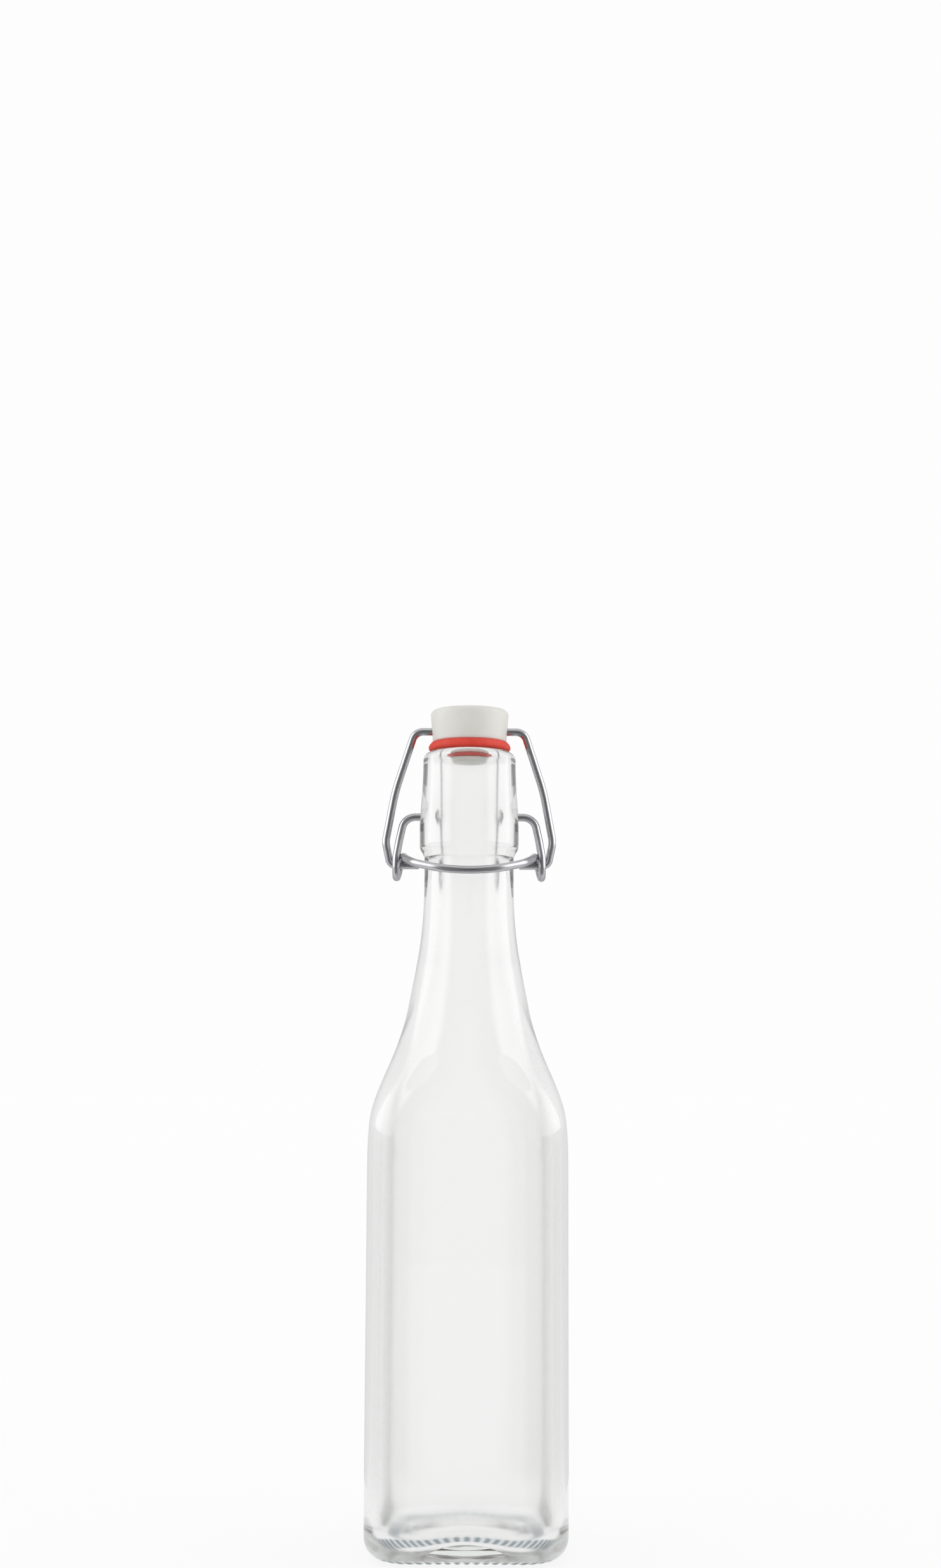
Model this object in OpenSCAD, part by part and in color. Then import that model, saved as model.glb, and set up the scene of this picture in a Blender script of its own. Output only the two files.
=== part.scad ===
// Square swing-top bottle: a clear glass bottle with a round neck, a lever wire sprung into two
// dimples in its collar, a bail wire hooked into the lever's eyes, and a stopper with a rubber gasket.
// Units are mm. Z is up, the origin is the centre of the base, and the thumb arc faces -Y.

/* [Bottle] */
// Width across the flats of the square body
body_w = 62.2; // [61:0.1:64]
// Radius of the body's upright corners
corner_r = 13; // [11:0.5:15]
// Corner radius of the upright walls on the inside, where the glass is thicker
inside_corner_r = 13; // [10:0.5:14]
// Wall thickness of the body
wall_t = 3; // [2.4:0.1:3.6]
// Height of the inside floor above the table
floor_z = 5; // [4.6:0.1:7]
// Rise of the push-up under the base
push_up = 3.4; // [2:0.2:3.6]
// Rise of the inside floor in its middle
floor_rise = 1.8; // [1:0.1:2.4]
// Outside radius of the neck under the collar
neck_r = 14.4; // [14.2:0.1:14.6]
// Radius of the bore through the neck
bore_r = 8.6; // [8.2:0.1:8.8]
// Outside radius of the collar that the wire grips
collar_r = 16; // [15.9:0.05:16]

/* [Wires] */
// Diameter of both wires
wire_d = 2.5; // [2.3:0.1:2.5]
// Radial gap round each turning wire end
wire_gap = 0.05; // [0.03:0.01:0.08]
// Radius of the turn at each eye, on the wire's centre line
eye_r = 3.25; // [3.25:0.05:3.3]

/* [Stopper] */
// Outside radius of the stopper's cap
cap_r = 12.65; // [12.3:0.05:12.8]
// Radius of the stopper's stem inside the gasket
stem_r = 5.2; // [4.8:0.1:5.4]
// Radius of the stopper's head below the gasket
head_r = 6.3; // [6:0.1:6.4]
// Outside radius of the gasket
gasket_r = 13.3; // [12.8:0.1:13.4]

/* [Colors] */
// Colour of the glass
glass_color = [0.86, 0.92, 0.92, 0.4];
// Colour of the wires
steel_color = [0.72, 0.72, 0.74];
// Colour of the stopper
stopper_color = [0.9, 0.9, 0.88];
// Colour of the gasket
gasket_color = [0.86, 0.22, 0.18];

/* [Hidden] */
$fn = 48;
eps = 0.01;
half_w = body_w / 2;
wire_r = wire_d / 2;

// Heights on the bottle
heel_r = 7;
shoulder_z = 178;
neck_top_z = 215;
collar_low_z = 218.2;
collar_high_z = 225.5;
lip_side_r = 14.95;
lip_round = 3;
lip_z = 249;
bore_top_z = 244.3;
throat_r = 8.9;
flare_r = 9.9;
flare_h = 2.6;

// Joint axes, all along X
pivot_z = 227.7;
eye_axis_z = 212;
eye_centre_z = 211.35;
stopper_axis_z = 255.6;

// Dimples in the collar
dimple_floor_x = 13;
dimple_cone_x = 14.7;
dimple_mouth_r = 2.4;

// Stopper heights
cap_low_z = 252;
cap_top_z = 263;
head_high_z = 246.6;
head_low_z = 244.8;
touch_gap = 0.02;

// Outside of the body: height, half width, corner radius as a share from body corner to round
out_steps = [
    [0.00, -heel_r, 0],
    [0.24, -heel_r * 0.741, 0],
    [0.94, -heel_r * 0.5, 0],
    [2.05, -heel_r * 0.293, 0],
    [3.50, -heel_r * 0.134, 0],
    [5.19, -heel_r * 0.034, 0],
    [7.00, 0, 0]
];

// Shoulder: height, half width, share of the way from square to round
shoulder_steps = [
    [118, 31.1, 0],
    [124, 30.98, 0],
    [128, 30.8, 0.01],
    [132, 30.45, 0.03],
    [136, 29.6, 0.08],
    [140, 28.3, 0.16],
    [144, 26.75, 0.28],
    [148, 25.1, 0.41],
    [152, 23.5, 0.54],
    [156, 22.05, 0.66],
    [160, 20.8, 0.76],
    [164, 19.75, 0.84],
    [168, 18.95, 0.9],
    [173, 17.95, 0.95],
    [shoulder_z, 17.0, 0.985]
];

// Inside of the bottle: height, half width, share from square to round
inside_steps = [
    [floor_z, -8, 0],
    [floor_z + 0.45, -5.2, 0],
    [floor_z + 1.6, -2.6, 0],
    [floor_z + 3.5, -0.9, 0],
    [floor_z + 5.7, -0.1, 0],
    [floor_z + 8.1, 0, 0]
];
inside_shoulder = [
    [118, 31.1, 0],
    [126, 30.9, 0.01],
    [131, 30.45, 0.03],
    [135, 29.55, 0.08],
    [139, 28.2, 0.16],
    [143, 26.5, 0.28],
    [147, 24.7, 0.41],
    [151, 22.9, 0.54],
    [155, 21.25, 0.66],
    [159, 19.8, 0.76],
    [163, 18.5, 0.84],
    [168, 17.1, 0.9],
    [173, 15.9, 0.95],
    [shoulder_z, 14.8, 0.985]
];

// One ring of the body's skin: a square of half width w with corners of radius r, at height z
arc_n = 9;
function ring(w, r, z) = [
    for (q = [0:3])
        for (i = [0:arc_n])
            let (a = 90 * q + 90 * i / arc_n)
                [
                    (q == 0 || q == 3 ? 1 : -1) * (w - r) + r * cos(a),
                    (q == 0 || q == 1 ? 1 : -1) * (w - r) + r * sin(a),
                    z
                ]
];
ring_n = 4 * (arc_n + 1);

// Faces that close a stack of rings, the first ring lowest
function stack_faces(n) = concat(
    [[for (i = [0:ring_n - 1]) i]],
    [
        for (k = [0:n - 2])
            for (i = [0:ring_n - 1])
                [k * ring_n + i, (k + 1) * ring_n + i, (k + 1) * ring_n + (i + 1) % ring_n]
    ],
    [
        for (k = [0:n - 2])
            for (i = [0:ring_n - 1])
                [k * ring_n + i, (k + 1) * ring_n + (i + 1) % ring_n, k * ring_n + (i + 1) % ring_n]
    ],
    [[for (i = [ring_n - 1:-1:0]) (n - 1) * ring_n + i]]
);

// Scale that lets the shoulder follow the width across the flats, fading out at the neck
function fit_w(w) = w + (half_w - 31.1) * (w - 17) / 14.1;
function corner(w, share) = (corner_r + (w - corner_r) * share) * min(1, w / half_w + share * 9);

module skin(rings) {
    points = [for (s = rings) for (p = ring(s[1], s[2], s[0])) p];
    polyhedron(points = points, faces = stack_faces(len(rings)), convexity = 6);
}

module body_outside() {
    low = [for (s = out_steps) [s[0], half_w + s[1], corner_r + s[1] * 0.8]];
    high = [for (s = shoulder_steps) [s[0], fit_w(s[1]), min(fit_w(s[1]) * 0.985, corner(fit_w(s[1]), s[2]))]];
    skin(concat(low, high));
}

module body_inside() {
    in_w = half_w - wall_t;
    in_r = inside_corner_r;
    low = [for (s = inside_steps) [s[0], in_w + s[1], in_r + s[1] * 0.7]];
    high = [
        for (s = inside_shoulder)
            let (w = fit_w(s[1]) - wall_t)
                [s[0], w, min(w * 0.985, in_r + (w - in_r) * s[2])]
    ];
    difference() {
        skin(concat(low, high));
        floor_dome();
    }
}

// The inside floor rises in the middle, over the push-up
module floor_dome() {
    dome = [for (i = [0:8]) [19 * i / 8, floor_z - eps + floor_rise * (0.5 + 0.5 * cos(22.5 * i))]];
    rotate_extrude()
        polygon(concat([[0, floor_z - 1]], dome, [[19, floor_z - 1]]));
}

// Radius of the neck outside at a height, easing out towards the shoulder
function neck_out(z) = neck_r + 2.68 * pow((neck_top_z - 9 - z) / (neck_top_z - 9 - shoulder_z), 2.2);
function neck_in(z) = bore_r + (11.86 - bore_r) * pow((neck_top_z - 3 - z) / (neck_top_z - 3 - shoulder_z), 1.6);

module finish_outside() {
    curve = [for (i = [0:8]) let (z = shoulder_z + i * (neck_top_z - 9 - shoulder_z) / 8) [neck_out(z), z]];
    lip = [
        for (i = [0:6])
            [lip_side_r - lip_round + lip_round * cos(15 * i), lip_z - lip_round + lip_round * sin(15 * i)]
    ];
    rotate_extrude()
        polygon(concat(
            [[0, shoulder_z - 1], [neck_out(shoulder_z), shoulder_z - eps]],
            curve,
            [
                [neck_r, neck_top_z - 0.4],
                [collar_r - 0.95, neck_top_z + 0.9],
                [collar_r - 0.3, neck_top_z + 2],
                [collar_r, collar_low_z],
                [collar_r, collar_high_z],
                [collar_r - 0.2, 229],
                [collar_r - 0.5, 233],
                [collar_r - 0.82, 238],
                [collar_r - 1, 243]
            ],
            lip,
            [[0, lip_z]]
        ));
}

module neck_inside() {
    low_z = shoulder_z - 1;
    curve = [for (i = [0:9]) let (z = low_z + i * (neck_top_z - 3 - low_z) / 9) [neck_in(z), z]];
    flare = [
        for (i = [0:4])
            [
                throat_r + (flare_r - throat_r) * (1 - cos(22.5 * i)),
                lip_z - flare_h + flare_h * sin(22.5 * i)
            ]
    ];
    rotate_extrude()
        polygon(concat(
            [[0, low_z]],
            curve,
            [[bore_r, bore_top_z]],
            flare,
            [[flare_r, lip_z + 1], [0, lip_z + 1]]
        ));
}

module dimple() {
    translate([dimple_floor_x, 0, pivot_z])
        rotate([0, 90, 0])
            cylinder(r = wire_r + wire_gap, h = collar_r);
    translate([dimple_cone_x, 0, pivot_z])
        rotate([0, 90, 0])
            cylinder(
                r1 = wire_r + wire_gap,
                r2 = dimple_mouth_r + 0.5,
                h = collar_r + 0.5 - dimple_cone_x
            );
}

module bottle() {
    color(glass_color)
        difference() {
            union() {
                body_outside();
                finish_outside();
            }
            body_inside();
            neck_inside();
            dimple();
            mirror([1, 0, 0]) dimple();
            rotate_extrude()
                polygon([
                    [0, -1],
                    [20, -1],
                    [20, 0],
                    [17, 0.9],
                    [12, 2.1],
                    [6, push_up - 0.2],
                    [0, push_up]
                ]);
        }
}

// Bends are a hair thicker than the runs, which end just inside them
bend_swell = 0.01;
lap = 0.08;

// Straight run of wire from a to b
module rod(a, b) {
    d = b - a;
    len = norm(d);
    translate(a)
        rotate([0, acos(d[2] / len), atan2(d[1], d[0])])
            cylinder(r = wire_r, h = len);
}

function unit(v) = v / norm(v);
function turn_of(p, q, s) = 180 - acos(unit(p - q) * unit(s - q));
function trim_of(p, q, s, r) = r * tan(turn_of(p, q, s) / 2);

// Bend of radius r in the wire at corner q, between the runs from p and to s
module elbow(p, q, s, r) {
    turn = turn_of(p, q, s);
    start = q + unit(p - q) * trim_of(p, q, s, r);
    centre = q + unit(unit(p - q) + unit(s - q)) * (r / cos(turn / 2));
    ux = unit(start - centre);
    n = unit(cross(ux, s - q));
    tilt = acos(n[2]);
    swing = atan2(n[1], n[0]);
    lx = [cos(tilt) * cos(swing), cos(tilt) * sin(swing), -sin(tilt)];
    ly = [-sin(swing), cos(swing), 0];
    translate(centre)
        rotate([0, tilt, swing])
            rotate([0, 0, atan2(ux * ly, ux * lx)])
                rotate_extrude(angle = turn)
                    translate([r, 0])
                        circle(r = wire_r + bend_swell);
}

// A wire bent along corner points, each with its bend radius
module bent_wire(pts, radii) {
    last = len(pts) - 1;
    trims = [
        for (i = [0:last])
            i == 0 || i == last ? 0 : trim_of(pts[i - 1], pts[i], pts[i + 1], radii[i])
    ];
    for (i = [0:last - 1]) {
        u = unit(pts[i + 1] - pts[i]);
        lap_a = i == 0 ? 0 : lap;
        lap_b = i == last - 1 ? 0 : lap;
        rod(pts[i] + u * (trims[i] - lap_a), pts[i + 1] - u * (trims[i + 1] - lap_b));
    }
    for (i = [1:last - 1])
        elbow(pts[i - 1], pts[i], pts[i + 1], radii[i]);
}

function flip(p) = [-p[0], p[1], p[2]];
function mirrored(half) = [for (i = [len(half) - 1:-1:0]) flip(half[i])];
function reversed(v) = [for (i = [len(v) - 1:-1:0]) v[i]];

// Corner points on the right-hand side, from the dimple to the front of the thumb arc
eye_k = eye_r / cos(22.5);
eye_x = [23.4, 23.4, 23.3, 22.9, 22.3, 21.6];
eye_pts = [
    for (i = [0:5])
        let (a = 22.5 + 45 * i)
            [eye_x[i], -eye_k * cos(a), eye_centre_z - eye_k * sin(a)]
];
eye_bends = [for (i = [0:5]) eye_r * 0.98];
lever_half = concat(
    [[13.3, 0, pivot_z], [20.9, 0, pivot_z], [22.5, -1.5, 220], [23.4, -eye_r, 214.4]],
    eye_pts,
    [[21, -3.2, 214.55], [20, -8.8, 213.3], [17, -15.6, 211.4], [9, -20.3, 209.4]]
);
lever_bends = concat([0, 4.4, 16, 7], eye_bends, [7, 9, 9, 16]);
lever_front = [0, -21, 208.75];
front_bend = 36;

module lever_wire() {
    color(steel_color)
        bent_wire(
            concat(mirrored(reversed(lever_half)), [lever_front], reversed(lever_half)),
            concat(lever_bends, [front_bend], reversed(lever_bends))
        );
}

bail_half = [
    [17.7, 0, stopper_axis_z],
    [24, 0, 236],
    [27, 0, 219.5],
    [25.4, 0, eye_axis_z],
    [16.1, 0, eye_axis_z]
];
bail_bends = [3.6, 60, 9, 2.4, 0];

module bail_wire() {
    color(steel_color)
        bent_wire(
            concat(mirrored(bail_half), bail_half),
            concat(reversed(bail_bends), bail_bends)
        );
}

module stopper() {
    round = [for (i = [0:6]) [cap_r - 2.2 + 2.2 * cos(15 * i), cap_top_z - 2 + 1.7 * sin(15 * i)]];
    color(stopper_color)
        difference() {
            rotate_extrude()
                polygon(concat(
                    [[0, head_low_z], [head_r - 1, head_low_z], [head_r, head_low_z + 0.9], [head_r, head_high_z]],
                    [[stem_r, head_high_z], [stem_r, cap_low_z], [cap_r - 1.1, cap_low_z], [cap_r - 0.68, cap_low_z + 0.4]],
                    [[cap_r - 0.6, cap_low_z + 2], [cap_r - 0.1, cap_low_z + 7.5]],
                    round,
                    [[0, cap_top_z]]
                ));
            translate([0, 0, stopper_axis_z])
                rotate([0, 90, 0])
                    cylinder(r = wire_r + wire_gap, h = 4 * cap_r, center = true);
        }
}

module gasket() {
    bottom_z = lip_z + touch_gap;
    hole_r = stem_r + touch_gap;
    color(gasket_color)
        rotate_extrude()
            polygon([
                [hole_r, head_high_z + touch_gap],
                [7, head_high_z + touch_gap],
                [9.3, bottom_z],
                [gasket_r - 1, bottom_z],
                [gasket_r - 0.3, bottom_z + 0.45],
                [gasket_r, bottom_z + 1],
                [gasket_r, bottom_z + 1.5],
                [gasket_r - 0.25, bottom_z + 2.1],
                [gasket_r - 0.95, cap_low_z - touch_gap],
                [hole_r, cap_low_z - touch_gap]
            ]);
}

bottle();
lever_wire();
bail_wire();
stopper();
gasket();
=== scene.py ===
"""Looks of the swing-top bottle: glass, two wires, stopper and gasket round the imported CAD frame."""

import math

import bmesh
import bpy
import numpy as np
from mathutils import Matrix, Vector


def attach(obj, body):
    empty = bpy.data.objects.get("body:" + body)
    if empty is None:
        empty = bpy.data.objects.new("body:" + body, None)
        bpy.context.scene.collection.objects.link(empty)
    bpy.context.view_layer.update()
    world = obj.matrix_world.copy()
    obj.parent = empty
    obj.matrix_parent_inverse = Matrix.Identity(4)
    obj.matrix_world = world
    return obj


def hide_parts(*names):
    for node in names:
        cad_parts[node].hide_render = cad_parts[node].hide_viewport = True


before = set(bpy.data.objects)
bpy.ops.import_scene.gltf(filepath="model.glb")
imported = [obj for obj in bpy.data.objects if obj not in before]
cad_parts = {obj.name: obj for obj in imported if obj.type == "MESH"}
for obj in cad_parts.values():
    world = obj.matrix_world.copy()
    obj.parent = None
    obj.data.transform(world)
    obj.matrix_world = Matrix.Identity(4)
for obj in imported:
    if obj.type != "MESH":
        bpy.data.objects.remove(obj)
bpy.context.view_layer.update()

MM = 0.001
scene = bpy.context.scene

# ---------------------------------------------------------------- sizes in mm
# They are the CAD's, but for small differences in the inside floor, the standing ring and the dimples.
HALF_W, CORNER_R, WALL, INSIDE_R = 31.1, 13.0, 3.0, 13.0
HEEL_R, PUSH_UP, RING_R = 7.0, 3.4, 22.1
FLOOR_LOW_Z, FLOOR_RISE, FLOOR_R = 4.9, 1.7, 20.4
IN_HEEL_R, IN_HEEL_H = 7.0, 8.2
FLOOR_WAVE = 0.9  # how far the floor lifts in the middle of each side and drops in each corner
NECK_R, BORE_R = 14.4, 8.6
NECK_SPREAD, BORE_SPREAD = 2.68, 3.26  # how much wider both are at the shoulder
SHOULDER_Z, NECK_TOP_Z = 178.0, 215.0
NECK_STRAIGHT_Z, BORE_STRAIGHT_Z = NECK_TOP_Z - 9, NECK_TOP_Z - 3
LIP_R, LIP_ROUND, LIP_Z = 14.95, 3.0, 249.0
FLARE_R, FLARE_H, THROAT_R, BORE_TOP_Z = 9.9, 2.6, 8.9, 244.3
PIVOT_Z, EYE_AXIS_Z, EYE_CENTRE_Z, STOPPER_AXIS_Z = 227.7, 212.0, 211.35, 255.6
WIRE_R, EYE_R, WIRE_END_X, DIMPLE_X = 1.25, 3.25, 13.3, 13.05
CAP_R, STEM_R, HEAD_R, GASKET_R = 12.65, 5.2, 6.3, 13.3
CAP_LOW_Z, CAP_TOP_Z, HEAD_HIGH_Z, HEAD_LOW_Z = 252.0, 263.0, 246.6, 244.8

# height, half width, share of the way from a rounded square to a circle
SHOULDER = [
    (118, 31.1, 0), (124, 30.98, 0), (128, 30.8, 0.01), (132, 30.45, 0.03), (136, 29.6, 0.08),
    (140, 28.3, 0.16), (144, 26.75, 0.28), (148, 25.1, 0.41), (152, 23.5, 0.54), (156, 22.05, 0.66),
    (160, 20.8, 0.76), (164, 19.75, 0.84), (168, 18.95, 0.9), (173, 17.95, 0.95), (178, 17.0, 0.985),
]
SHOULDER_IN = [
    (118, 28.1, 0), (126, 27.9, 0.01), (131, 27.45, 0.03), (135, 26.55, 0.08), (139, 25.2, 0.16),
    (143, 23.5, 0.28), (147, 21.7, 0.41), (151, 19.9, 0.54), (155, 18.25, 0.66), (159, 16.8, 0.76),
    (163, 15.5, 0.84), (168, 14.1, 0.9), (173, 12.9, 0.95), (178, 11.86, 1.0),
]
# height and radius of the collar and of the slow taper from it up to the lip
FINISH = [
    (214, 14.4), (214.6, 14.45), (215.2, 14.72), (215.9, 15.05), (217, 15.68), (217.6, 15.88), (218.2, 15.97),
    (219.2, 16.0), (222, 16.0), (225.5, 16.0), (229, 15.8), (233, 15.5), (238, 15.18), (243, 15.0), (246, 14.95),
]


def new_object(name, mesh):
    obj = bpy.data.objects.new(name, mesh)
    scene.collection.objects.link(obj)
    return obj


def smooth(mesh):
    for poly in mesh.polygons:
        poly.use_smooth = True


def face_out(mesh):
    """Turns the faces of a closed mesh outwards."""
    bm = bmesh.new()
    bm.from_mesh(mesh)
    bmesh.ops.recalc_face_normals(bm, faces=bm.faces)
    bm.to_mesh(mesh)
    bm.free()


# ---------------------------------------------------------------- glass
AROUND = 340  # points in each row of the bottle's skin
DOTS, KNURL = 68, 0.5  # dots round the standing ring, and how far the glass lifts between them


def spline(rows, at):
    """Catmull-Rom values of rows (first column is the parameter) at each of at."""
    rows = np.array(rows, float)
    x = rows[:, 0]
    slopes = np.gradient(rows, x, axis=0)
    out = []
    for v in at:
        i = int(np.clip(np.searchsorted(x, v) - 1, 0, len(x) - 2))
        h = x[i + 1] - x[i]
        t = (v - x[i]) / h
        a = (2 * t**3 - 3 * t**2 + 1) * rows[i] + (t**3 - 2 * t**2 + t) * h * slopes[i]
        b = (-2 * t**3 + 3 * t**2) * rows[i + 1] + (t**3 - t**2) * h * slopes[i + 1]
        out.append(a + b)
    return np.array(out)


def rounded_square(w, r, n=AROUND):
    """Points of a square of half width w with corners of radius r, evenly spread by angle."""
    a = (np.arange(n) + 0.5) * 2 * math.pi / n
    fold = np.abs(((a + math.pi / 4) % (math.pi / 2)) - math.pi / 4)
    c, s = np.cos(fold), np.sin(fold)
    flat = w / c
    m = w - r
    dot = (c + s) * m
    arc = dot + np.sqrt(np.maximum(dot**2 - 2 * m * m + r * r, 0))
    rho = np.where(w * np.tan(fold) <= m, flat, arc)
    return np.stack([rho * np.cos(a), rho * np.sin(a)], axis=1)


def soft_square(w, r, n=AROUND):
    """Like rounded_square, with the same corners, but bending evenly all the way round as blown glass does."""
    a = (np.arange(n) + 0.5) * 2 * math.pi / n
    power = 1 / (0.5 - math.log2(((w - r) * math.sqrt(2) + r) / w))
    rho = w / (np.abs(np.cos(a)) ** power + np.abs(np.sin(a)) ** power) ** (1 / power)
    return np.stack([rho * np.cos(a), rho * np.sin(a)], axis=1)


def loft(rows, name, inside_from):
    """A closed skin through rows of (z, half width, corner radius, wave, knurl).

    Wave lifts the middles of the sides and lowers the corners; knurl lifts what lies between the dots of
    the ring that the bottle stands on. First and last rows close on a point. The point attribute "inside"
    is 1 from row inside_from on, and "dots" is 1 on the dots."""
    verts, faces, on_dots = [], [], []
    for k, (z, w, r, *extra) in enumerate(rows):
        wave, knurl = (*extra, 0, 0)[:2]
        ring = (soft_square if k >= inside_from else rounded_square)(w, min(r, w))
        lift, dots = np.zeros(AROUND), np.zeros(AROUND)
        if wave:
            lift += wave * np.cos(4 * np.arctan2(ring[:, 1], ring[:, 0]))
        if knurl:
            run = np.concatenate([[0], np.cumsum(np.linalg.norm(np.diff(ring, axis=0), axis=1))])
            whole = run[-1] + np.linalg.norm(ring[0] - ring[-1])
            dots = np.abs(np.cos(math.pi * DOTS * run / whole)) ** 1.2
            lift += knurl * (1 - dots)
            dots = dots * knurl / KNURL
        on_dots += list(dots)
        verts += [(x * MM, y * MM, (z + up) * MM) for (x, y), up in zip(ring, lift)]
    n = AROUND
    for k in range(len(rows) - 1):
        for i in range(n):
            j = (i + 1) % n
            faces.append((k * n + i, k * n + j, (k + 1) * n + j, (k + 1) * n + i))
    first, last = len(verts), len(verts) + 1
    verts.append((0, 0, rows[0][0] * MM))
    verts.append((0, 0, rows[-1][0] * MM))
    top = (len(rows) - 1) * n
    for i in range(n):
        j = (i + 1) % n
        faces.append((first, j, i))
        faces.append((last, top + i, top + j))
    mesh = bpy.data.meshes.new(name)
    mesh.from_pydata(verts, [], faces)
    inside = mesh.attributes.new("inside", "FLOAT", "POINT")
    inside.data.foreach_set(
        "value", [float(inside_from * n <= i < first or i == last) for i in range(len(verts))]
    )
    mesh.attributes.new("dots", "FLOAT", "POINT").data.foreach_set("value", on_dots + [0.0, 0.0])
    smooth(mesh)
    return mesh


def neck_out(z):
    """Outside radius of the neck, which spreads below its straight part."""
    t = (NECK_STRAIGHT_Z - z) / (NECK_STRAIGHT_Z - SHOULDER_Z)
    return NECK_R + NECK_SPREAD * max(t, 0) ** 2.2


def neck_in(z):
    """Radius of the bore, which spreads below its straight part."""
    t = (BORE_STRAIGHT_Z - z) / (BORE_STRAIGHT_Z - SHOULDER_Z)
    return BORE_R + BORE_SPREAD * max(t, 0) ** 1.6


def round_rows(pts):
    """Rows of round section from (radius, z) points."""
    return [(z, r, r) for r, z in pts]


def bottle_rows():
    """Rows of the whole skin of the bottle, from under its base over the lip to its inside floor, and the
    number of the first row inside."""
    rows = []
    # push-up, from its middle out to the ring that the bottle stands on
    dome_r, clear = RING_R - 2.6, 0.02
    for rho in np.linspace(0.6, dome_r, 16):
        rows.append((PUSH_UP * (0.5 + 0.5 * math.cos(math.pi * (rho / 20.5) ** 1.5)) + clear, rho, rho))
    for t in np.linspace(0, 1, 6)[1:-1]:
        w = dome_r + t * 2.6
        rows.append((clear + 0.1 * (1 - t) ** 2, w, w - t * 14.5 - 0.01))
    rows.append((clear, RING_R, 7.6))
    for out, k in ((0.2, 0.2), (0.5, 0.6), (0.8, 0.9), (1.2, 1), (1.6, 1)):
        rows.append((0.0, RING_R + out, 7.5, 0, KNURL * k))
    # heel, with the dots running up its foot
    for a in [*np.linspace(0, 44, 16), *np.linspace(52, 90, 6)]:
        c = math.radians(a)
        w = HALF_W - HEEL_R * (1 - math.sin(c))
        knurl = KNURL * min(1, max(0, (40 - a) / 9))
        r = CORNER_R - (HALF_W - w) * 0.8
        rows.append((HEEL_R * (1 - math.cos(c)), w, r, 0, knurl))
    # walls and shoulder
    for z in np.linspace(9, 116, 8):
        rows.append((z, HALF_W, CORNER_R))
    for z, w, share in spline(SHOULDER, np.linspace(118, 178, 37)):
        if share < 0.985:
            r = (CORNER_R + (w - CORNER_R) * share) * min(1, w / HALF_W + share * 9)
            rows.append((z, w, min(w, r)))
        else:
            rows.append((z, w, w))
    # from here up, over the lip and down the bore every row is round
    round_pts = [(neck_out(z), z) for z in np.linspace(SHOULDER_Z + 1.5, NECK_STRAIGHT_Z, 16)]
    round_pts += [(NECK_R, z) for z in np.linspace(208, 214, 4)]
    # collar, and the slow taper from it up to the lip
    heights = [*np.linspace(214.3, 219.1, 17), *np.linspace(220.4, 245.8, 20)]
    round_pts += [(r, z) for z, r in spline(FINISH, heights)]
    for a in np.linspace(4, 90, 14):
        c = math.radians(a)
        r = LIP_R - LIP_ROUND + LIP_ROUND * math.cos(c)
        round_pts.append((r, LIP_Z - LIP_ROUND + LIP_ROUND * math.sin(c)))
    round_pts += [(11.3, LIP_Z), (10.6, LIP_Z - 0.01)]
    inside_from = len(rows) + len(round_pts) + 9  # the last row of the flare
    for a in np.linspace(90, 0, 10):
        c = math.radians(a)
        r = THROAT_R + (FLARE_R - THROAT_R) * (1 - math.cos(c))
        round_pts.append((r, LIP_Z - FLARE_H + FLARE_H * math.sin(c)))
    round_pts += [(THROAT_R - 0.3 * t * t * (3 - 2 * t), 246.4 - 2.1 * t) for t in np.linspace(0.15, 1, 7)]
    round_pts += [(BORE_R, z) for z in np.linspace(BORE_TOP_Z - 0.8, 213, 8)]
    round_pts += [(neck_in(z), z) for z in np.linspace(BORE_STRAIGHT_Z, SHOULDER_Z + 1.5, 16)]
    rows += round_rows(round_pts)
    # inside of the shoulder and walls
    for z, w, share in spline(SHOULDER_IN, np.linspace(178, 118, 37)):
        r = INSIDE_R + (w - INSIDE_R) * min(share, 1)
        rows.append((z, w, w if share > 0.98 else min(w, r)))
    in_w, in_r = HALF_W - WALL, INSIDE_R
    for z in np.linspace(116, 16, 8):
        rows.append((z, in_w, in_r))
    # inside heel and the domed floor
    for a in np.linspace(90, 8, 12):
        c = math.radians(a)
        back = IN_HEEL_R * (1 - math.sin(c))
        z = FLOOR_LOW_Z + IN_HEEL_H * (1 - math.cos(c))
        rows.append((z, in_w - back, in_r - back * 0.7, FLOOR_WAVE * math.cos(c) ** 0.5))
    for t in np.linspace(0, 1, 16):
        w = FLOOR_R * (1 - t) + 0.6 * t
        z = FLOOR_LOW_Z + FLOOR_RISE * (0.5 - 0.5 * math.cos(math.pi * t))
        r = min(w, 8.1 + (w - 8.1) * min(1, t * 2.5)) if w > 8.1 else w
        rows.append((z, w, r, FLOOR_WAVE * (1 - t) ** 1.5))
    return rows, inside_from


def cut(obj, cutters):
    """Takes each cutter out of obj, then removes the cutters."""
    for tool in cutters:
        mod = obj.modifiers.new("cut", "BOOLEAN")
        mod.operation, mod.solver, mod.object = "DIFFERENCE", "EXACT", tool
    bpy.context.view_layer.update()
    dg = bpy.context.evaluated_depsgraph_get()
    mesh = bpy.data.meshes.new_from_object(obj.evaluated_get(dg))
    obj.modifiers.clear()
    obj.data = mesh
    for tool in cutters:
        bpy.data.objects.remove(tool)


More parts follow.
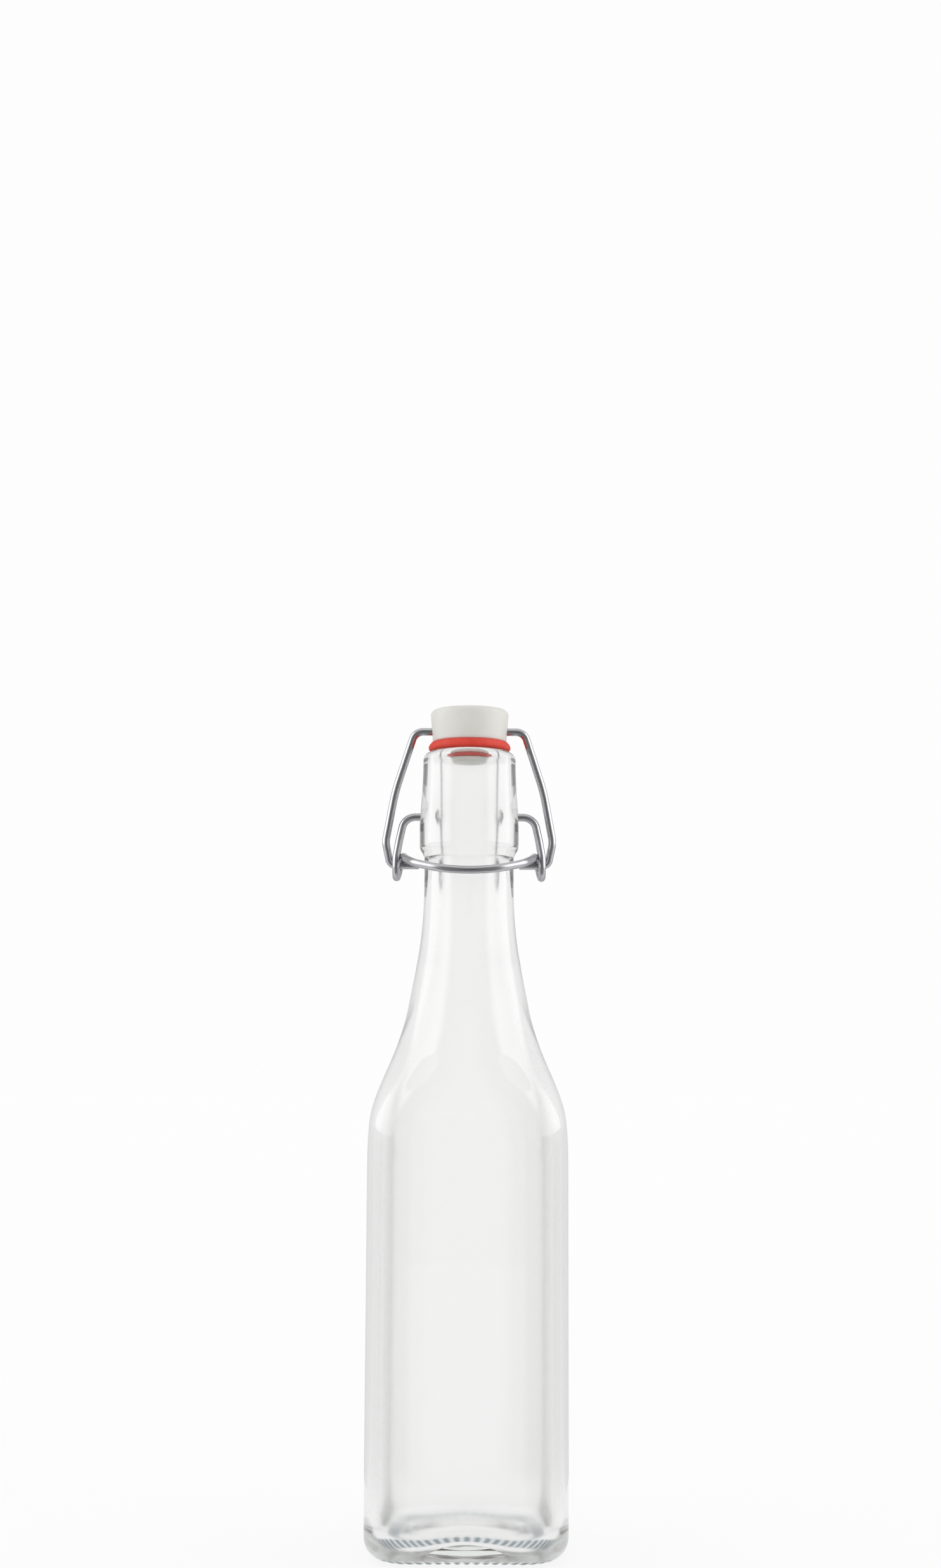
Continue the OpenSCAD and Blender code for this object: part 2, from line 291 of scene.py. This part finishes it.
def turned(profile, name, segments=96, axis=None, move=(0, 0, 0)):
    """A closed turned solid from (radius, z) points that start and end on the axis."""
    verts, faces, rings = [], [], []
    for r, z in profile:
        if r < 1e-6:
            rings.append([len(verts)])
            verts.append((0, 0, z * MM))
        else:
            rings.append(list(range(len(verts), len(verts) + segments)))
            for i in range(segments):
                a = 2 * math.pi * i / segments
                verts.append((r * math.cos(a) * MM, r * math.sin(a) * MM, z * MM))
    for lo, hi in zip(rings, rings[1:]):
        for i in range(segments):
            j = (i + 1) % segments
            if len(lo) == 1:
                faces.append((lo[0], hi[j], hi[i]))
            elif len(hi) == 1:
                faces.append((lo[i], lo[j], hi[0]))
            else:
                faces.append((lo[i], lo[j], hi[j], hi[i]))
    mesh = bpy.data.meshes.new(name)
    mesh.from_pydata(verts, [], faces)
    if axis:
        mesh.transform(Vector((0, 0, 1)).rotation_difference(Vector(axis)).to_matrix().to_4x4())
    mesh.transform(Matrix.Translation(Vector(move) * MM))
    face_out(mesh)
    smooth(mesh)
    return mesh


glass_rows, inside_from = bottle_rows()
bottle = new_object("bottle_glass", loft(glass_rows, "bottle_glass", inside_from))
face_out(bottle.data)

dimple = [(0, DIMPLE_X), (WIRE_R + 0.02, DIMPLE_X), (WIRE_R + 0.07, DIMPLE_X + 0.35), (WIRE_R + 0.1, 14.7)]
dimple += [(WIRE_R + 0.1 + 1.15 * t**1.6, 14.7 + 1.5 * t) for t in np.linspace(0.08, 1, 10)]
dimple += [(2.55, 18.0), (0, 18.0)]
cutters = [turned(dimple, "cutter", 64, (side, 0, 0), (0, 0, PIVOT_Z)) for side in (1, -1)]
cut(bottle, [new_object("cutter", mesh) for mesh in cutters])
bottle.data.name = "bottle_glass"


# ---------------------------------------------------------------- wires
def wire_path(points, bends, step=0.35):
    """Centre line through corner points, each rounded to its bend radius, in mm."""
    pts = [np.array(p, float) for p in points]
    out, prev = [pts[0]], pts[0]

    def straight(a, b):
        n = max(1, int(np.linalg.norm(b - a) / 1.2))
        out.extend(a + (b - a) * k / n for k in range(1, n + 1))

    for i in range(1, len(pts) - 1):
        ua = (pts[i - 1] - pts[i]) / np.linalg.norm(pts[i - 1] - pts[i])
        ub = (pts[i + 1] - pts[i]) / np.linalg.norm(pts[i + 1] - pts[i])
        turn = math.pi - math.acos(np.clip(ua @ ub, -1, 1))
        trim = bends[i] * math.tan(turn / 2)
        start = pts[i] + ua * trim
        centre = pts[i] + (ua + ub) / np.linalg.norm(ua + ub) * bends[i] / math.cos(turn / 2)
        straight(prev, start)
        arm = start - centre
        axis = np.cross(arm, ub)
        axis /= np.linalg.norm(axis)
        n = max(2, int(bends[i] * turn / step))
        for k in range(1, n + 1):
            a = turn * k / n
            out.append(centre + arm * math.cos(a) + np.cross(axis, arm) * math.sin(a))
        prev = out[-1]
    straight(prev, pts[-1])
    return np.array(out)


def tube(path, radius, name, sides=28):
    """A round wire along path with softly broken ends; UV runs along and round it."""
    tangents = np.gradient(path, axis=0)
    tangents /= np.linalg.norm(tangents, axis=1)[:, None]
    up = np.array([0.0, 1.0, 0.0])
    length = np.concatenate([[0], np.cumsum(np.linalg.norm(np.diff(path, axis=0), axis=1))])
    chamfer = 0.25
    stations = [(path[0], tangents[0], radius - chamfer, 0.0)]
    stations.append((path[0] + tangents[0] * chamfer, tangents[0], radius, chamfer))
    for p, t, s in zip(path[1:-1], tangents[1:-1], length[1:-1]):
        if chamfer * 1.5 < s < length[-1] - chamfer * 1.5:
            stations.append((p, t, radius, s))
    stations.append((path[-1] - tangents[-1] * chamfer, tangents[-1], radius, length[-1] - chamfer))
    stations.append((path[-1], tangents[-1], radius - chamfer, length[-1]))
    verts = []
    for p, t, r, _ in stations:
        side = np.cross(t, up)
        if np.linalg.norm(side) < 1e-3:
            side = np.cross(t, [0, 0, 1.0])
        side /= np.linalg.norm(side)
        up = np.cross(side, t)
        for i in range(sides):
            a = 2 * math.pi * i / sides
            verts.append(tuple((p + (side * math.cos(a) + up * math.sin(a)) * r) * MM))
    faces, uvs = [], []
    for k in range(len(stations) - 1):
        for i in range(sides):
            j = (i + 1) % sides
            faces.append((k * sides + i, k * sides + j, (k + 1) * sides + j, (k + 1) * sides + i))
            u0, u1 = stations[k][3] * MM, stations[k + 1][3] * MM
            v0, v1 = i / sides * 0.008, (i + 1) / sides * 0.008
            uvs += [(u0, v0), (u0, v1), (u1, v1), (u1, v0)]
    ends = [tuple(range(sides)), tuple(range(len(verts) - 1, len(verts) - 1 - sides, -1))]
    for f in ends:
        faces.append(f)
        uvs += [(0, 0.001 * k / sides) for k in range(sides)]
    mesh = bpy.data.meshes.new(name)
    mesh.from_pydata(verts, [], faces)
    layer = mesh.uv_layers.new(name="wire")
    for loop, uv in zip(layer.data, uvs):
        loop.uv = uv
    face_out(mesh)
    smooth(mesh)
    return new_object(name, mesh)


def both_sides(half, bends, front=None, front_bend=0):
    """Points and bends of a whole wire from its right-hand half, which runs from the middle outwards."""
    left = [(-x, y, z) for x, y, z in half[::-1]]
    middle = [front] if front else []
    return left + middle + half, bends[::-1] + ([front_bend] if front else []) + bends


eye_k = EYE_R / math.cos(math.radians(22.5))
eye = []
for i, x in enumerate((23.4, 23.4, 23.3, 22.9, 22.3, 21.6)):
    a = math.radians(22.5 + 45 * i)
    eye.append((x, -eye_k * math.cos(a), EYE_CENTRE_Z - eye_k * math.sin(a)))
lever_half = [(WIRE_END_X, 0, PIVOT_Z), (20.9, 0, PIVOT_Z), (22.5, -1.5, 220), (23.4, -EYE_R, 214.4), *eye]
lever_half += [(21, -3.2, 214.55), (20, -8.8, 213.3), (17, -15.6, 211.4), (9, -20.3, 209.4)]
lever_bends = [0, 4.4, 16, 7] + [EYE_R * 0.98] * 6 + [7, 9, 9, 16]
lever_wire = tube(
    wire_path(*both_sides(lever_half[::-1], lever_bends[::-1], (0, -21, 208.75), 36)), WIRE_R, "lever_wire_round"
)

bail_half = [(17.7, 0, STOPPER_AXIS_Z), (24, 0, 236), (27, 0, 219.5), (25.4, 0, EYE_AXIS_Z), (16.1, 0, EYE_AXIS_Z)]
bail_wire = tube(wire_path(*both_sides(bail_half, [3.6, 60, 9, 2.4, 0])), WIRE_R, "bail_wire_round")

# ---------------------------------------------------------------- stopper
cap = [(0, HEAD_LOW_Z + 0.3), (1.6, HEAD_LOW_Z + 0.25), (2.0, HEAD_LOW_Z), (HEAD_R - 1.5, HEAD_LOW_Z)]
cap += [(HEAD_R - 0.8, HEAD_LOW_Z + 0.2), (HEAD_R - 0.3, HEAD_LOW_Z + 0.8), (HEAD_R - 0.05, HEAD_HIGH_Z - 0.25)]
cap += [(HEAD_R - 0.3, HEAD_HIGH_Z), (STEM_R + 0.3, HEAD_HIGH_Z), (STEM_R, HEAD_HIGH_Z + 0.2)]
cap += [(STEM_R, CAP_LOW_Z - 0.2), (STEM_R + 0.2, CAP_LOW_Z), (CAP_R - 1.15, CAP_LOW_Z)]
cap += [(CAP_R - 0.85, CAP_LOW_Z + 0.12), (CAP_R - 0.68, CAP_LOW_Z + 0.45)]
cap += [(CAP_R - 0.64, CAP_LOW_Z + 1.0), (CAP_R - 0.6, CAP_LOW_Z + 2.0)]
cap += [(CAP_R - 0.6 + 0.6 * t**0.9, CAP_LOW_Z + 2.0 + t * 6.8) for t in np.linspace(0.12, 1, 9)]
cap += [
    (CAP_R - 2.2 + 2.2 * math.cos(math.radians(a)), CAP_TOP_Z - 2.0 + 1.75 * math.sin(math.radians(a)))
    for a in np.linspace(6, 84, 12)
]
cap += [(r, CAP_TOP_Z - 0.25 * (r / 10.4) ** 2) for r in np.linspace(9.6, 0.6, 10)] + [(0, CAP_TOP_Z)]
stopper = new_object("stopper_cap", turned(cap, "stopper_cap", 160))
hole = [(0, -20), (WIRE_R + 0.06, -20), (WIRE_R + 0.06, 20), (0, 20)]
cut(stopper, [new_object("cutter", turned(hole, "cutter", 48, (1, 0, 0), (0, 0, STOPPER_AXIS_Z)))])

# ---------------------------------------------------------------- gasket
ring = [(STEM_R + 0.03, HEAD_HIGH_Z + 0.05), (6.8, HEAD_HIGH_Z + 0.05), (7.1, HEAD_HIGH_Z + 0.2)]
ring += [(9.05, LIP_Z - 0.2), (9.4, LIP_Z + 0.03), (GASKET_R - 1.0, LIP_Z + 0.03), (GASKET_R - 0.6, LIP_Z + 0.18)]
ring += [(GASKET_R - 0.3, LIP_Z + 0.45), (GASKET_R - 0.08, LIP_Z + 0.8), (GASKET_R, LIP_Z + 1.2)]
ring += [(GASKET_R - 0.06, LIP_Z + 1.6), (GASKET_R - 0.25, LIP_Z + 2.05), (GASKET_R - 0.6, LIP_Z + 2.5)]
ring += [(GASKET_R - 0.95, CAP_LOW_Z - 0.06)]
ring += [(STEM_R + 0.03, CAP_LOW_Z - 0.03)]


def turned_ring(profile, name, segments=160):
    """A turned ring from (radius, z) points that go round its section."""
    verts = []
    n = len(profile)
    for i in range(segments):
        a = 2 * math.pi * i / segments
        verts += [(r * math.cos(a) * MM, r * math.sin(a) * MM, z * MM) for r, z in profile]
    faces = []
    for i in range(segments):
        j = (i + 1) % segments
        for k in range(n):
            m = (k + 1) % n
            faces.append((i * n + k, j * n + k, j * n + m, i * n + m))
    mesh = bpy.data.meshes.new(name)
    mesh.from_pydata(verts, [], faces)
    face_out(mesh)
    smooth(mesh)
    return new_object(name, mesh)


gasket = turned_ring(ring, "gasket_ring")


# ---------------------------------------------------------------- materials
def material(name, **values):
    """A new material, its node tree and its shader, with values on the shader's own sockets."""
    mat = bpy.data.materials.new(name)
    mat.use_nodes = True
    shader = mat.node_tree.nodes["Principled BSDF"]
    for key, value in values.items():
        shader.inputs[key.replace("_", " ")].default_value = value
    return mat, mat.node_tree, shader


def noise(tree, scale, detail=3.0, coords="Object", stretch=(1, 1, 1)):
    tex = tree.nodes.new("ShaderNodeTexNoise")
    tex.inputs["Scale"].default_value = scale
    tex.inputs["Detail"].default_value = detail
    source = tree.nodes.new("ShaderNodeTexCoord")
    mapping = tree.nodes.new("ShaderNodeMapping")
    mapping.inputs["Scale"].default_value = stretch
    tree.links.new(source.outputs[coords], mapping.inputs["Vector"])
    tree.links.new(mapping.outputs["Vector"], tex.inputs["Vector"])
    return tex


def ramp(tree, source, stops, out):
    """Sends source through a colour ramp with (position, colour) stops to the socket out."""
    node = tree.nodes.new("ShaderNodeValToRGB")
    node.color_ramp.elements[0].position, node.color_ramp.elements[0].color = stops[0]
    node.color_ramp.elements[1].position, node.color_ramp.elements[1].color = stops[1]
    for pos, col in stops[2:]:
        node.color_ramp.elements.new(pos).color = col
    tree.links.new(source, node.inputs["Fac"])
    tree.links.new(node.outputs["Color"], out)


def bump(tree, source, shader, distance, strength=1.0):
    node = tree.nodes.new("ShaderNodeBump")
    node.inputs["Distance"].default_value = distance
    node.inputs["Strength"].default_value = strength
    tree.links.new(source, node.inputs["Height"])
    tree.links.new(node.outputs["Normal"], shader.inputs["Normal"])


def grey(v):
    return (v, v, v, 1)


# DOT_PAINTED_SHADE is painted shade, the dark colour the ring's dots show through refraction, not a colour of the
# glass
FLINT, DOT_PAINTED_SHADE = (0.987, 0.987, 0.984, 1), (0.04, 0.08, 0.11, 1)
glass_mat, tree, shader = material(
    "flint_glass", Base_Color=FLINT, Roughness=0.0, IOR=1.52, Transmission_Weight=1.0
)
wave = noise(tree, 45.0, 2.0, stretch=(1, 1, 0.35))
bump(tree, wave.outputs["Fac"], shader, 0.0006, 0.35)
# the inside is a little softer to look through than the outside
face = tree.nodes.new("ShaderNodeAttribute")
face.attribute_name = "inside"
haze = tree.nodes.new("ShaderNodeMath")
haze.operation = "MULTIPLY"
haze.inputs[1].default_value = 0.2
tree.links.new(face.outputs["Fac"], haze.inputs[0])
tree.links.new(haze.outputs["Value"], shader.inputs["Roughness"])
# the dots of the ring get a dark grey-blue base colour: painted shade for the dark surroundings and the shadow gap
# that their knurls refract
dots = tree.nodes.new("ShaderNodeAttribute")
dots.attribute_name = "dots"
ramp(tree, dots.outputs["Fac"], [(0.1, FLINT), (0.8, DOT_PAINTED_SHADE)], shader.inputs["Base Color"])
volume = tree.nodes.new("ShaderNodeVolumeAbsorption")
volume.inputs["Color"].default_value = (0.34, 0.40, 0.34, 1)
volume.inputs["Density"].default_value = 6.0
tree.links.new(volume.outputs["Volume"], tree.nodes["Material Output"].inputs["Volume"])
bottle.data.materials.append(glass_mat)

steel_mat, tree, shader = material("drawn_steel", Base_Color=(0.50, 0.50, 0.52, 1), Metallic=1.0, Roughness=0.14)
grain = noise(tree, 9000.0, 3.0, "UV", (0.03, 1, 1))
ramp(tree, grain.outputs["Fac"], [(0.3, grey(0.18)), (0.75, grey(0.3))], shader.inputs["Roughness"])
bump(tree, grain.outputs["Fac"], shader, 0.00001, 0.4)
for wire in (lever_wire, bail_wire):
    wire.data.materials.append(steel_mat)

cap_mat, tree, shader = material(
    "moulded_plastic", Roughness=0.38, Subsurface_Weight=0.25, Subsurface_Scale=0.002, Specular_IOR_Level=0.45
)
shader.inputs["Subsurface Radius"].default_value = (1.0, 0.9, 0.75)
mottle = noise(tree, 160.0, 4.0)
creams = [(0.3, (0.84, 0.835, 0.785, 1)), (0.7, (0.88, 0.875, 0.825, 1))]
ramp(tree, mottle.outputs["Fac"], creams, shader.inputs["Base Color"])
fine = noise(tree, 2600.0, 2.0)
bump(tree, fine.outputs["Fac"], shader, 0.00002, 0.5)
stopper.data.materials.append(cap_mat)

rubber_mat, tree, shader = material(
    "red_rubber", Roughness=0.6, Subsurface_Weight=0.15, Subsurface_Scale=0.001, Specular_IOR_Level=0.3
)
shader.inputs["Subsurface Radius"].default_value = (1.0, 0.25, 0.2)
cloud = noise(tree, 300.0, 3.0)
reds = [(0.3, (0.80, 0.055, 0.035, 1)), (0.72, (0.90, 0.075, 0.045, 1))]
ramp(tree, cloud.outputs["Fac"], reds, shader.inputs["Base Color"])
bump(tree, noise(tree, 1800.0, 2.0).outputs["Fac"], shader, 0.00003, 0.5)
gasket.data.materials.append(rubber_mat)

# ---------------------------------------------------------------- what rides on what
for piece, body, node, slot in (
    (bottle, "bottle", "bottle", "glass"),
    (lever_wire, "lever", "lever_wire", "wire"),
    (bail_wire, "bail", "bail_wire", "wire"),
    (stopper, "stopper", "stopper", "stopper"),
    (gasket, "stopper", "gasket", "gasket"),
):
    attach(piece, body)
    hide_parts(node)

# ---------------------------------------------------------------- stage
FLOOR_REACH = 8  # metres
floor_mat, tree, shader = material(
    "pale_floor", Base_Color=grey(0.12), Roughness=0.9, Specular_IOR_Level=0.0, Emission_Strength=0.868
)
shader.inputs["Emission Color"].default_value = grey(1)
turns = np.linspace(0, 2 * math.pi, 48, endpoint=False)
floor_mesh = bpy.data.meshes.new("floor")
floor_mesh.from_pydata(
    [(FLOOR_REACH * math.cos(a), FLOOR_REACH * math.sin(a), 0) for a in turns], [], [tuple(range(len(turns)))]
)
floor_mesh.materials.append(floor_mat)
new_object("floor", floor_mesh)


EDGE_DEPTH = 2.5  # a ray through the solid edge of the glass has crossed two faces


def glow_material(name, past_edge=None):
    """Light whose strength is the point attribute "glow". With past_edge, only rays that crossed nothing but
    the solid edge of the glass see that strength, and all others see past_edge."""
    mat = bpy.data.materials.new(name)
    mat.use_nodes = True
    tree = mat.node_tree
    tree.nodes.remove(tree.nodes["Principled BSDF"])
    light = tree.nodes.new("ShaderNodeEmission")
    level = tree.nodes.new("ShaderNodeAttribute")
    level.attribute_name = "glow"
    strength = level.outputs["Fac"]
    if past_edge is not None:
        path = tree.nodes.new("ShaderNodeLightPath")
        deep = tree.nodes.new("ShaderNodeMath")
        deep.operation = "GREATER_THAN"
        deep.inputs[1].default_value = EDGE_DEPTH
        tree.links.new(path.outputs["Ray Depth"], deep.inputs[0])
        either = tree.nodes.new("ShaderNodeMix")
        tree.links.new(deep.outputs["Value"], either.inputs[0])
        tree.links.new(strength, either.inputs[2])
        either.inputs[3].default_value = past_edge
        strength = either.outputs[0]
    tree.links.new(strength, light.inputs["Strength"])
    tree.links.new(light.outputs["Emission"], tree.nodes["Material Output"].inputs["Surface"])
    return mat


def surround(name, radius, levels, heights, mat, seen_by, right=1.0):
    """A wall or a flat ring round the bottle that the camera doesn't see, with graded light.

    levels are (azimuth, brightness) on the left-hand side, mirrored to the right-hand side with brightness
    times right; azimuth 0 is towards the camera. radius and heights are those of its two rims, in metres.
    seen_by is the one kind of ray that sees it."""
    verts, faces, glow = [], [], []
    for side in (-1, 1):
        for i, a in enumerate(np.arange(levels[0][0], levels[-1][0] + 0.5, 1.0)):
            x, y = math.sin(math.radians(a)) * side, -math.cos(math.radians(a))
            k = len(verts)
            if i:
                faces.append((k - 2, k, k + 1, k - 1))
            verts += [(x * r, y * r, z) for r, z in zip(radius, heights)]
            glow += [float(np.interp(a, *zip(*levels))) * (right if side > 0 and a < 175 else 1.0)] * 2
    mesh = bpy.data.meshes.new(name)
    mesh.from_pydata(verts, [], faces)
    mesh.attributes.new("glow", "FLOAT", "POINT").data.foreach_set("value", glow)
    mesh.materials.append(mat)
    obj = new_object(name, mesh)
    obj.visible_camera = obj.visible_shadow = False
    obj.visible_glossy = seen_by == "glossy"
    obj.visible_transmission = seen_by == "transmission"
    obj.visible_diffuse = seen_by == "diffuse"


WHITE = 0.985  # the backdrop's brightness
studio_glow = glow_material("studio_glow")
edge_glow = glow_material("edge_glow", WHITE)
# soft lights left and right of the camera, the darker room in front and the greyer one behind, in reflections
softs = [(0, 0.3), (38, 0.3), (54, 2.4), (106, 2.4), (118, 0.6), (160, 0.55), (180, 0.8)]
surround("softs", (1.10, 1.10), softs, (0.25, 1.5), studio_glow, "glossy")
room = [(0, 0.3), (46, 0.3), (60, WHITE), (106, WHITE), (118, 0.65), (160, 0.65), (180, 0.8)]
surround("room", (1.12, 1.12), room, (0.0, 0.25), studio_glow, "glossy")
surround("room_floor", (0.12, 1.12), room, (0.0006, 0.0006), studio_glow, "glossy")
surround("lens", (1.00, 1.00), [(0, 0.05), (7, 0.05), (9, 0.3)], (0.0, 0.4), studio_glow, "glossy")
surround("front", (1.25, 1.25), [(0, 0.12), (38, 0.12), (50, 0.95)], (0.0, 0.95), studio_glow, "diffuse")
# the backdrop falls off to the sides, as the walls show it, and its ends are dark in the neck's solid edges
body_flank = [(100, 0.84), (150, 0.85), (158, 0.91), (166, 0.96), (174, WHITE)]
surround("flank_body", (1.2, 1.2), body_flank, (0.0, 0.24), studio_glow, "transmission", 0.97)
surround("flank_floor", (0.12, 1.2), body_flank, (0.0005, 0.0005), studio_glow, "transmission", 0.97)
neck_flank = [(82, 0.25), (116, 0.25), (122, 0.6), (128, WHITE)]
surround("flank_neck", (1.2, 1.2), neck_flank, (0.24, 0.285), edge_glow, "transmission")
finish_flank = [(82, 0.02), (116, 0.02), (123, 0.3), (128, WHITE)]
surround("flank_finish", (1.2, 1.2), finish_flank, (0.285, 0.62), edge_glow, "transmission")

world = bpy.data.worlds.new("studio")
scene.world = world
world.use_nodes = True
world.node_tree.nodes["Background"].inputs["Color"].default_value = grey(1)
world.node_tree.nodes["Background"].inputs["Strength"].default_value = WHITE
scene.view_settings.view_transform = "Standard"
# light makes many turns inside thick glass
scene.cycles.max_bounces, scene.cycles.transmission_bounces, scene.cycles.glossy_bounces = 28, 28, 20

# ---------------------------------------------------------------- camera, in metres and degrees
EYE_LEVEL, AWAY, TILT, ROLL, ASIDE = 0.1504, 0.700, 7.18, 0.25, 0.00035
LENS, SENSOR = 49.97, 36.0  # millimetres
cam_data = bpy.data.cameras.new("camera")
cam_data.sensor_width = SENSOR
cam_data.lens = LENS
cam_data.clip_start, cam_data.clip_end = 0.01, 50.0
camera = bpy.data.objects.new("camera", cam_data)
scene.collection.objects.link(camera)
camera.matrix_world = (
    Matrix.Translation((ASIDE, -AWAY, EYE_LEVEL))
    @ Matrix.Rotation(math.radians(90 + TILT), 4, "X")
    @ Matrix.Rotation(math.radians(ROLL), 4, "Z")
)
scene.camera = camera
